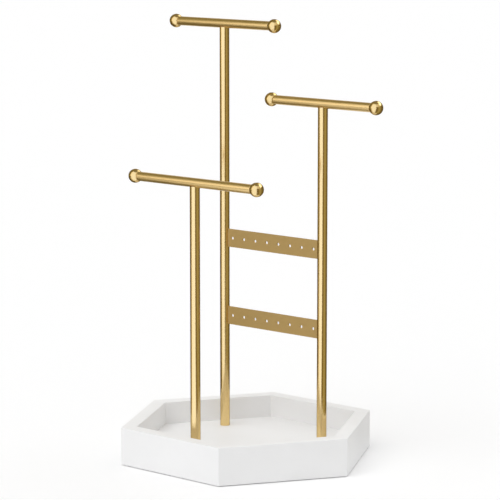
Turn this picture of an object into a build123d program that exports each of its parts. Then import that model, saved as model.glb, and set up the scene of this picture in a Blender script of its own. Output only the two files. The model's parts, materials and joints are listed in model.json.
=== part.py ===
"""Tiered jewellery stand: three swivelling T-bars and two earring strips over a six-sided tray.

Millimetres, +Z up, origin on the table at the tray's centre. The short T-bar stands at the
front (-Y), the tall one back left and the middle one back right, with the strips between them.
"""
from build123d import *
import os
from math import asin, cos, floor, radians, sin, sqrt

# Tray: six mitred boards round a floor panel
tray_across_flats = 220.0
wall_thickness = 14.0
tray_depth = 22.0
floor_thickness = 9.0
groove_depth = 4.0
corner_radius = 1.2
edge_radius = 0.8

# Pads under the tray
pad_diameter = 8.0
pad_thickness = 0.6

# Post tubes
post_diameter = 9.5
post_wall = 1.0
post_wall_gap = 18.0
plug_length = 14.0

# Screws that hold the posts from below
screw_diameter = 5.0
screw_reach = 10.0
screw_head_diameter = 9.5
screw_head_side = 1.0
screw_head_height = 3.0
screw_socket = 3.0
screw_socket_depth = 1.6
washer_diameter = 13.0
washer_thickness = 1.0
head_room = 1.4

# T-bars: heights of their centre lines above the table, spans between ball centres
short_bar_height = 275.0
tier_step = 70.5
bar_span = 130.0
front_bar_span = 156.0
bar_diameter = 9.0
bar_wall = 1.0
bar_end_chamfer = 0.3
ball_overhang = 2.25
stem_length = 9.0

# Swivel at the top of each post
stud_diameter = 5.0
stud_in_post = 10.0
stud_in_bar = 5.0
stud_end_room = 0.5
seat_depth = 1.2
core_length = 24.0

# Earring strips between the tall and the middle post
upper_strip_height = 205.0
strip_spacing = 77.5
strip_width = 18.0
strip_thickness = 1.2
strip_edge_radius = 0.3
tongue_shoulder = 3.0
tongue_reach = 1.0
ear_hole_diameter = 3.0
ear_hole_pitch = 15.0
ear_hole_margin = 5.0

# Clearances, each on one side
glue_gap = 0.1
press_gap = 0.02
slot_gap = 0.05
thread_gap = 0.05
screw_hole_gap = 0.25
swivel_gap = 0.1

# Levels and radii that follow from the sizes above
wall_bottom = pad_thickness
floor_bottom = wall_bottom + head_room + screw_head_height + washer_thickness
floor_top = floor_bottom + floor_thickness
rim = floor_top + tray_depth
outer_apothem = tray_across_flats / 2
inner_apothem = outer_apothem - wall_thickness
post_radius = post_diameter / 2
post_bore = post_radius - post_wall
post_circle = inner_apothem - post_wall_gap - post_radius
bar_radius = bar_diameter / 2
bar_bore = bar_radius - bar_wall
ball_radius = bar_radius + ball_overhang
ball_seat = sqrt(ball_radius**2 - bar_radius**2)
tongue_width = strip_width - 2 * tongue_shoulder

SIDES = 6
BASE = (Align.CENTER, Align.CENTER, Align.MIN)

# Direction of each wall's middle, in degrees from +X
WALLS = {
    "wall_back_right": 30,
    "wall_back": 90,
    "wall_back_left": 150,
    "wall_front_left": 210,
    "wall_front": 270,
    "wall_front_right": 330,
}

# Each post: direction from the tray's centre, height of its bar, span of its bar
POSTS = {
    "tall": (150, short_bar_height + 2 * tier_step, bar_span),
    "middle": (30, short_bar_height + tier_step, bar_span),
    "short": (270, short_bar_height, front_bar_span),
}

STRIPS = {
    "earring_strip_upper": upper_strip_height,
    "earring_strip_lower": upper_strip_height - strip_spacing,
}


def save(node, *solids):
    """Write one node, keeping its solids apart."""
    export_step(solids[0] if len(solids) == 1 else Compound(children=list(solids)), f"parts/{node}.step")


def polar(angle, radius, z=0.0):
    """Location at a direction and distance from the tray's centre."""
    return Pos(radius * cos(radians(angle)), radius * sin(radians(angle)), z)


def tube(radius, bore, length):
    """Upright tube standing on the origin."""
    return Cylinder(radius, length, align=BASE) - Cylinder(bore, length, align=BASE)


def hexagon(apothem, bottom, top):
    """Six-sided prism with flat sides to the front and back."""
    outline = RegularPolygon(apothem, SIDES, major_radius=False)
    return Pos(0, 0, bottom) * extrude(outline, top - bottom)


def tray_frame():
    """The six walls in one piece, grooved for the floor, with every outer edge eased."""
    frame = hexagon(outer_apothem, wall_bottom, rim) - hexagon(inner_apothem, wall_bottom, rim)
    uprights = frame.edges().filter_by(Axis.Z).sort_by_distance((0, 0, wall_bottom))
    frame = fillet(uprights[-SIDES:], corner_radius)
    levels = frame.faces().sort_by(Axis.Z)
    frame = fillet(levels[-1].edges() + levels[0].edges(), edge_radius)
    return frame - hexagon(inner_apothem + groove_depth, floor_bottom, floor_top)


def wall_board(frame, angle):
    """One board, mitred at both ends by planes through the tray's axis."""
    half_turn = 180 / SIDES
    mitres = [polar(angle + turn, tray_across_flats).position for turn in (-half_turn, half_turn)]
    wedge = extrude(make_face(Polyline((0, 0), *mitres, close=True)), rim)
    return (frame & wedge).solid()


def tray_floor():
    """Floor panel, let into the walls and drilled for the post screws."""
    panel = hexagon(inner_apothem + groove_depth - glue_gap, floor_bottom, floor_top)
    for angle, _, _ in POSTS.values():
        panel -= polar(angle, post_circle, floor_bottom) * Cylinder(
            screw_diameter / 2 + screw_hole_gap, floor_thickness, align=BASE
        )
    return panel


def foot_pad(angle):
    """Round pad under the middle of one wall."""
    return polar(angle, outer_apothem - wall_thickness / 2) * Cylinder(
        pad_diameter / 2, pad_thickness, align=BASE
    )


def base_screw():
    """Pan-head screw with a hexagon socket, its bearing face on the origin and its shank upward."""
    head = screw_head_diameter / 2
    crown = screw_head_height - screw_head_side
    crown_radius = (head**2 + crown**2) / (2 * crown)
    lean = asin(head / crown_radius) / 2
    crown_middle = (crown_radius * sin(lean), crown_radius * (1 - cos(lean)) - screw_head_height)
    shank_top = washer_thickness + floor_thickness + screw_reach
    side = Polyline(
        (0, -screw_head_height),
        (0, shank_top),
        (screw_diameter / 2, shank_top),
        (screw_diameter / 2, 0),
        (head, 0),
        (head, -screw_head_side),
    )
    dome = ThreePointArc(side @ 1, crown_middle, side @ 0)
    screw = revolve(Plane.XZ * make_face([side, dome]), Axis.Z)
    socket = extrude(RegularPolygon(screw_socket / 2, SIDES, major_radius=False), screw_socket_depth)
    return screw - Pos(0, 0, -screw_head_height) * socket


def base_washer():
    """Flat washer standing on the origin."""
    return tube(washer_diameter / 2, screw_diameter / 2 + screw_hole_gap, washer_thickness)


def post_top(bar_height):
    """Level of a post's upper end, just below the seat in its bar."""
    return bar_height - bar_radius + seat_depth - swivel_gap


def post_tube(bar_height, slot_side):
    """Post tube on the origin's axis; slot_side is +1, -1 or 0 for the side that takes the strips."""
    post = Pos(0, 0, floor_top) * tube(post_radius, post_bore, post_top(bar_height) - floor_top)
    for height in STRIPS.values():
        if slot_side:
            slot = Box(2 * post_radius, strip_thickness + 2 * slot_gap, tongue_width + 2 * slot_gap)
            post -= Pos(slot_side * post_radius, 0, height) * slot
    return post


def threaded_plug(bore_diameter):
    """Plug pressed into a tube's end, tapped through."""
    return tube(post_bore - press_gap, bore_diameter / 2 + thread_gap, plug_length)


def swivel_stud():
    """Stud that the bar turns on, its lower end on the origin."""
    return Cylinder(stud_diameter / 2, stud_in_post + stud_in_bar, align=BASE)


def seat_cutter():
    """Round seat for the post's end and blind hole for the stud, in a bar centred on the origin."""
    seat_level = seat_depth - bar_radius
    seat = Pos(0, 0, seat_level) * Cylinder(
        post_radius + swivel_gap, bar_diameter, align=(Align.CENTER, Align.CENTER, Align.MAX)
    )
    hole = Pos(0, 0, seat_level) * Cylinder(
        stud_diameter / 2 + thread_gap, stud_in_bar - swivel_gap + stud_end_room, align=BASE
    )
    return seat + hole


def bar_tube(span):
    """Cross tube along X, centred on the origin, cut from below for the post."""
    length = span - 2 * ball_seat
    bar = Pos(0, 0, -length / 2) * tube(bar_radius, bar_bore, length)
    rims = bar.edges().filter_by(GeomType.CIRCLE).sort_by(SortBy.RADIUS)[-2:]
    return Rot(0, 90, 0) * chamfer(rims, bar_end_chamfer) - seat_cutter()


def bar_core():
    """Solid core inside the cross tube, tapped for the stud."""
    return Rot(0, 90, 0) * Cylinder(bar_bore - press_gap, core_length) - seat_cutter()


def ball_end():
    """Ball with a stem for the right-hand end of a cross tube, ball centre on the origin."""
    stem_radius = bar_bore - press_gap
    stem_end = -ball_seat - stem_length
    foot = Polyline(
        (ball_radius, 0),
        (stem_end, 0),
        (stem_end, stem_radius),
        (-ball_seat, stem_radius),
        (-ball_seat, bar_radius),
    )
    crown = ThreePointArc(foot @ 1, (0, ball_radius), foot @ 0)
    return revolve(make_face([foot, crown]), Axis.X)


def earring_strip(length):
    """Strip across the back, centred on the origin, with a row of holes and a tongue at each end."""
    strip = Box(length, strip_thickness, strip_width)
    strip = fillet(strip.edges().filter_by(Axis.X), strip_edge_radius)
    strip += Box(length + 2 * (post_wall + tongue_reach), strip_thickness, tongue_width)
    holes = GridLocations(ear_hole_pitch, 0, 1 + floor((length - 2 * ear_hole_margin) / ear_hole_pitch), 1)
    drill = Rot(90, 0, 0) * Cylinder(ear_hole_diameter / 2, 2 * strip_thickness)
    return strip - [spot * drill for spot in holes]


def build():
    os.makedirs("parts", exist_ok=True)

    frame = tray_frame()
    for node, angle in WALLS.items():
        save(node, wall_board(frame, angle))
    save("tray_floor", tray_floor())
    save("foot_pads", *[foot_pad(angle) for angle in WALLS.values()])

    bases = [polar(angle, post_circle, floor_bottom - washer_thickness) for angle, _, _ in POSTS.values()]
    save("base_washers", *[base * base_washer() for base in bases])
    save("base_screws", *[base * base_screw() for base in bases])

    slot_sides = {"tall": 1, "middle": -1, "short": 0}
    for name, (angle, bar_height, span) in POSTS.items():
        axis = polar(angle, post_circle)
        top = post_top(bar_height)
        save(f"post_{name}", axis * post_tube(bar_height, slot_sides[name]))
        save(f"foot_plug_{name}", axis * Pos(0, 0, floor_top) * threaded_plug(screw_diameter))
        save(f"top_plug_{name}", axis * Pos(0, 0, top - plug_length) * threaded_plug(stud_diameter))
        save(f"swivel_stud_{name}", axis * Pos(0, 0, top - stud_in_post) * swivel_stud())
        bar = axis * Pos(0, 0, bar_height)
        save(f"crossbar_{name}", bar * bar_tube(span))
        save(f"bar_core_{name}", bar * bar_core())
        save(f"ball_{name}_right", bar * Pos(span / 2, 0, 0) * ball_end())
        save(f"ball_{name}_left", bar * Rot(0, 0, 180) * Pos(span / 2, 0, 0) * ball_end())

    back_angle = POSTS["middle"][0]
    strip_plane = post_circle * sin(radians(back_angle))
    strip_length = 2 * (post_circle * cos(radians(back_angle)) - post_radius)
    for node, height in STRIPS.items():
        save(node, Pos(0, strip_plane, height) * earring_strip(strip_length))


build()
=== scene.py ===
"""Looks for the tiered jewellery stand: finishes, studio set and the photograph's camera.

Metres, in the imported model's own frame: +Z up, origin on the table at the tray's centre. A bearing
is an angle in degrees round +Z, from 0 at the front (-Y) through 90 at the right (+X).
"""
import json
from math import cos, pi, radians, sin

import bmesh
import bpy
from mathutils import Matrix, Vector

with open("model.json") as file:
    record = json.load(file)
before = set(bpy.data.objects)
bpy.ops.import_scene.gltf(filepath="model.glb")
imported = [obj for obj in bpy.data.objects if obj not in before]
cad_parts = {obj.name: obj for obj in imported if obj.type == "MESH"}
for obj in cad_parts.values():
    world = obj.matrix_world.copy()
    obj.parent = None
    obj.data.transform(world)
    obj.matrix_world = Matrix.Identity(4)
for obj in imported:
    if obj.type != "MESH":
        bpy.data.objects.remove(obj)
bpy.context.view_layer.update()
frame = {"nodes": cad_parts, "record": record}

# Camera of the photograph
camera_bearing = 42.242
camera_distance = 2.3747
camera_height = 0.5704
camera_heading = 42.181
camera_pitch = 8.799
camera_lens = 179.89
sensor_width = 36.0

# Finishes
noise_low, noise_high = 0.3, 0.7
gold_rough_change = 0.03
gold_coat_rough = 0.15

# Lamps: bearing, elevation, spread, and the share of white that each makes of a white surface facing it
sky_light = 0.53
LAMPS = {
    "lamp_key": (-3, 52, 60, 0.34),
    "lamp_top": (0, 90, 90, 0.12),
    "lamp_back": (165, 38, 60, 0.13),
}

# Studio set
floor_radius = 15.0
floor_colour = (1.0, 1.0, 1.0, 1.0)
disc_sides = 96
card_inner_radius = 0.15
card_radius = 1.5
card_lift = 0.001
card_step = 4.0
floor_card_height = 0.01
ceiling_height = 3.4
ceiling_light = (0.29, 0.26, 0.16)

# Reflector cards round the stand, by the bearings of their sides. From the floor up, each card has
# its name, the height of its upper edge and the light given off.
CARDS = {
    (-48, -30): [
        ("card_key_floor", floor_card_height, (0.95, 0.90, 0.78)),
        ("card_key_low", 0.22, (0.24, 0.20, 0.10)),
        ("card_key_left", ceiling_height, (1.40, 1.32, 1.18)),
    ],
    (-30, 44): [
        ("card_key", ceiling_height, (1.25, 1.35, 1.62)),
    ],
    (44, 79): [
        ("card_front", 0.9, (0.235, 0.175, 0.065)),
        ("card_front_high", ceiling_height, (0.95, 0.93, 0.88)),
    ],
    (79, 118): [
        ("card_fill", 0.9, (0.44, 0.40, 0.215)),
        ("card_fill_high", ceiling_height, (0.75, 0.72, 0.66)),
    ],
    (118, 200): [
        ("card_right", 1.1, (0.215, 0.18, 0.085)),
        ("card_window", 2.4, (2.80, 2.80, 2.70)),
    ],
    (200, 245): [
        ("card_back", 1.2, (0.80, 0.77, 0.70)),
        ("card_back_high", ceiling_height, (0.30, 0.25, 0.14)),
    ],
    (245, 312): [
        ("card_left_floor", floor_card_height, (0.15, 0.12, 0.05)),
        ("card_left", ceiling_height, (0.26, 0.225, 0.10)),
    ],
}


def bearing_point(bearing, radius, z=0.0):
    """Point at a bearing and a distance from the tray's axis."""
    return Vector((radius * sin(radians(bearing)), -radius * cos(radians(bearing)), z))


def link(name, data):
    """New object in the scene."""
    made = bpy.data.objects.new(name, data)
    bpy.context.scene.collection.objects.link(made)
    return made


# Materials


def new_material(name):
    """Material with its node tree and shader."""
    material = bpy.data.materials.new(name)
    material.use_nodes = True
    return material, material.node_tree, material.node_tree.nodes["Principled BSDF"]


def grain(tree, cycles, detail=2.0):
    """Noise fixed to the part, with so many cycles per metre along X, Y and Z."""
    place = tree.nodes.new("ShaderNodeTexCoord")
    mapping = tree.nodes.new("ShaderNodeMapping")
    noise = tree.nodes.new("ShaderNodeTexNoise")
    mapping.inputs["Scale"].default_value = cycles
    noise.inputs["Scale"].default_value = 1.0
    noise.inputs["Detail"].default_value = detail
    tree.links.new(place.outputs["Object"], mapping.inputs["Vector"])
    tree.links.new(mapping.outputs["Vector"], noise.inputs["Vector"])
    return noise.outputs["Fac"]


def spread(tree, noise, target, low, high):
    """Noise mapped from its usual range to a range of one shader value."""
    span = tree.nodes.new("ShaderNodeMapRange")
    span.inputs["From Min"].default_value = noise_low
    span.inputs["From Max"].default_value = noise_high
    span.inputs["To Min"].default_value = low
    span.inputs["To Max"].default_value = high
    tree.links.new(noise, span.inputs["Value"])
    tree.links.new(span.outputs["Result"], target)


def tint(tree, noise, target, dark, light):
    """Noise turned into a colour between two shades."""
    ramp = tree.nodes.new("ShaderNodeValToRGB")
    ramp.color_ramp.elements[0].position = noise_low
    ramp.color_ramp.elements[1].position = noise_high
    ramp.color_ramp.elements[0].color = (*dark, 1.0)
    ramp.color_ramp.elements[1].color = (*light, 1.0)
    tree.links.new(noise, ramp.inputs["Fac"])
    tree.links.new(ramp.outputs["Color"], target)


def relief(tree, noise, shader, depth):
    """Bump of a real depth in metres."""
    bump = tree.nodes.new("ShaderNodeBump")
    bump.inputs["Distance"].default_value = depth
    tree.links.new(noise, bump.inputs["Height"])
    tree.links.new(bump.outputs["Normal"], shader.inputs["Normal"])


def white_lacquer():
    """Satin white lacquer with a faint orange peel."""
    material, tree, shader = new_material("white_lacquer")
    cloud = grain(tree, cycles=(30, 30, 30))
    sheen = grain(tree, cycles=(60, 60, 60))
    peel = grain(tree, cycles=(600, 600, 600))
    tint(tree, cloud, shader.inputs["Base Color"], dark=(0.88, 0.88, 0.88), light=(0.90, 0.90, 0.90))
    spread(tree, sheen, shader.inputs["Roughness"], low=0.42, high=0.52)
    relief(tree, peel, shader, depth=0.00003)
    shader.inputs["Specular IOR Level"].default_value = 0.2
    return material


def gold(name, cycles, dark, light, rough, coat, edge):
    """Gold plating, brushed along the direction with the fewest grain cycles."""
    material, tree, shader = new_material(name)
    brush = grain(tree, cycles)
    tint(tree, brush, shader.inputs["Base Color"], dark, light)
    low, high = rough - gold_rough_change, rough + gold_rough_change
    spread(tree, brush, shader.inputs["Roughness"], low, high)
    relief(tree, brush, shader, depth=0.0000004)
    shader.inputs["Metallic"].default_value = 1.0
    shader.inputs["Specular Tint"].default_value = (*edge, 1.0)
    shader.inputs["Coat Weight"].default_value = coat
    shader.inputs["Coat Roughness"].default_value = gold_coat_rough
    return material


def zinc_steel():
    """Zinc-plated steel with a cloudy grey."""
    material, tree, shader = new_material("zinc_steel")
    cloud = grain(tree, cycles=(400, 400, 400), detail=4.0)
    tint(tree, cloud, shader.inputs["Base Color"], dark=(0.52, 0.53, 0.55), light=(0.68, 0.69, 0.70))
    spread(tree, cloud, shader.inputs["Roughness"], low=0.28, high=0.42)
    shader.inputs["Metallic"].default_value = 1.0
    return material


def pad():
    """Pale foam with fine open cells."""
    material, tree, shader = new_material("pad")
    cells = grain(tree, cycles=(2500, 2500, 2500), detail=3.0)
    tint(tree, cells, shader.inputs["Base Color"], dark=(0.66, 0.66, 0.65), light=(0.80, 0.80, 0.79))
    spread(tree, cells, shader.inputs["Roughness"], low=0.85, high=0.95)
    relief(tree, cells, shader, depth=0.0001)
    return material


def dress():
    """Give every node its finish: tubes and strips brushed along their own length, balls all ways. The
    strips' and balls' darker gold is painted shade.
    """
    tube_shades = (0.80, 0.58, 0.255), (0.84, 0.62, 0.285)
    # Darker than the tube gold: painted shade that dims the balls' reflections
    ball_shades_with_painted_shade = (0.74, 0.535, 0.22), (0.78, 0.565, 0.245)
    # Darker than the tube gold: painted shade that dims the strips' reflections; their matte roughness
    # is their own
    strip_shades_with_painted_shade = (0.54, 0.37, 0.135), (0.58, 0.40, 0.155)
    along_x, along_z, all_ways = (40, 3000, 3000), (3000, 3000, 40), (900, 900, 900)
    pale_edge, dark_edge = (1.0, 1.0, 1.0), (0.3, 0.25, 0.18)
    by_kind = {
        "post": gold("gold_post", along_z, *tube_shades, rough=0.20, coat=0.1, edge=dark_edge),
        "ball": gold("gold_ball", all_ways, *ball_shades_with_painted_shade, rough=0.20, coat=0.4, edge=dark_edge),
    }
    by_slot = {
        "white_lacquer": white_lacquer(),
        "gold_tube": gold("gold_bar", along_x, *tube_shades, rough=0.29, coat=0.5, edge=pale_edge),
        "gold_strip": gold("gold_strip", along_x, *strip_shades_with_painted_shade, rough=0.60, coat=0.2, edge=pale_edge),
        "zinc_steel": zinc_steel(),
        "pad": pad(),
    }
    for subpart in frame["record"]["subparts"]:
        kind = subpart["node"].split("_")[0]
        mesh = frame["nodes"][subpart["node"]].data
        mesh.materials.clear()
        mesh.materials.append(by_kind.get(kind, by_slot[subpart["material_slot"]]))


# Studio


def disc(name, radius, z, material):
    """Round sheet of the studio set, level and centred on the stand."""
    outline = bmesh.new()
    bmesh.ops.create_circle(outline, cap_ends=True, segments=disc_sides, radius=radius)
    mesh = bpy.data.meshes.new(name)
    outline.to_mesh(mesh)
    outline.free()
    mesh.materials.append(material)
    made = link(name, mesh)
    made.location.z = z
    return made


def floor():
    """Wide pale floor whose far edge lies above the picture."""
    material, _, shader = new_material("floor")
    shader.inputs["Base Color"].default_value = floor_colour
    shader.inputs["Roughness"].default_value = 1.0
    shader.inputs["Specular IOR Level"].default_value = 0.0
    disc("floor", floor_radius, 0.0, material)


def glow(name, light):
    """Material that gives off light and reflects none."""
    material, tree, shader = new_material(name)
    tree.nodes.remove(shader)
    emission = tree.nodes.new("ShaderNodeEmission")
    emission.inputs["Color"].default_value = (*light, 1.0)
    tree.links.new(emission.outputs["Emission"], tree.nodes["Material Output"].inputs["Surface"])
    return material


def gloss_only(card):
    """Show a card in the gloss of the finishes and nowhere else."""
    card.visible_camera = False
    card.visible_diffuse = False
    card.visible_shadow = False


def reflector(name, start, end, low, high, light):
    """Upright curved card. One that starts at the floor also lies along it, towards the stand."""
    profile = [(card_radius, low + card_lift), (card_radius, high)]
    if low == 0:
        profile.insert(0, (card_inner_radius, card_lift))
    steps = max(1, round((end - start) / card_step))
    columns = steps + 1
    points, faces = [], []
    for row, (radius, z) in enumerate(profile):
        for column in range(columns):
            points.append(bearing_point(start + (end - start) * column / steps, radius, z))
            if row and column:
                here = row * columns + column
                faces.append((here - columns - 1, here - columns, here, here - 1))
    mesh = bpy.data.meshes.new(name)
    mesh.from_pydata(points, [], faces)
    mesh.materials.append(glow(name, light))
    card = link(name, mesh)
    gloss_only(card)


def reflectors():
    """Cards of every sector, each standing on the one below it, and the ceiling."""
    for (start, end), cards in CARDS.items():
        low = 0.0
        for name, high, light in cards:
            reflector(name, start, end, low, high, light)
            low = high
    gloss_only(disc("card_ceiling", card_radius, ceiling_height, glow("card_ceiling", ceiling_light)))


def sky():
    """Even light from all round, seen as plain white."""
    world = bpy.data.worlds.new("studio")
    bpy.context.scene.world = world
    world.use_nodes = True
    nodes, links = world.node_tree.nodes, world.node_tree.links
    path = nodes.new("ShaderNodeLightPath")
    seen = nodes.new("ShaderNodeMath")
    seen.operation = "MAXIMUM"
    mirrored = nodes.new("ShaderNodeMath")
    mirrored.operation = "MAXIMUM"
    level = nodes.new("ShaderNodeMapRange")
    level.inputs["To Min"].default_value = sky_light
    level.inputs["To Max"].default_value = 1.0
    links.new(path.outputs["Is Glossy Ray"], mirrored.inputs[0])
    links.new(path.outputs["Is Transmission Ray"], mirrored.inputs[1])
    links.new(path.outputs["Is Camera Ray"], seen.inputs[0])
    links.new(mirrored.outputs[0], seen.inputs[1])
    links.new(seen.outputs[0], level.inputs["Value"])
    links.new(level.outputs["Result"], nodes["Background"].inputs["Strength"])
    nodes["Background"].inputs["Color"].default_value = (1.0, 1.0, 1.0, 1.0)


def lamp(name, bearing, elevation, spread_angle, light):
    """Distant soft lamp, hidden from the gloss, where the cards stand for it."""
    sun = bpy.data.lights.new(name, "SUN")
    sun.energy = pi * light
    sun.angle = radians(spread_angle)
    towards = bearing_point(bearing, cos(radians(elevation)), sin(radians(elevation)))
    placed = link(name, sun)
    placed.rotation_euler = towards.to_track_quat("Z", "Y").to_euler()
    placed.visible_glossy = False


def photo_camera():
    """Camera where the photograph was taken."""
    lens = bpy.data.cameras.new("camera")
    lens.lens = camera_lens
    lens.sensor_width = sensor_width
    lens.clip_end = 2 * floor_radius
    camera = link("camera", lens)
    camera.location = bearing_point(camera_bearing, camera_distance, camera_height)
    camera.rotation_euler = (radians(90 - camera_pitch), 0.0, radians(camera_heading))
    bpy.context.scene.camera = camera


dress()
floor()
reflectors()
for lamp_name, lamp_form in LAMPS.items():
    lamp(lamp_name, *lamp_form)
sky()
photo_camera()
bpy.context.scene.view_settings.view_transform = "Standard"
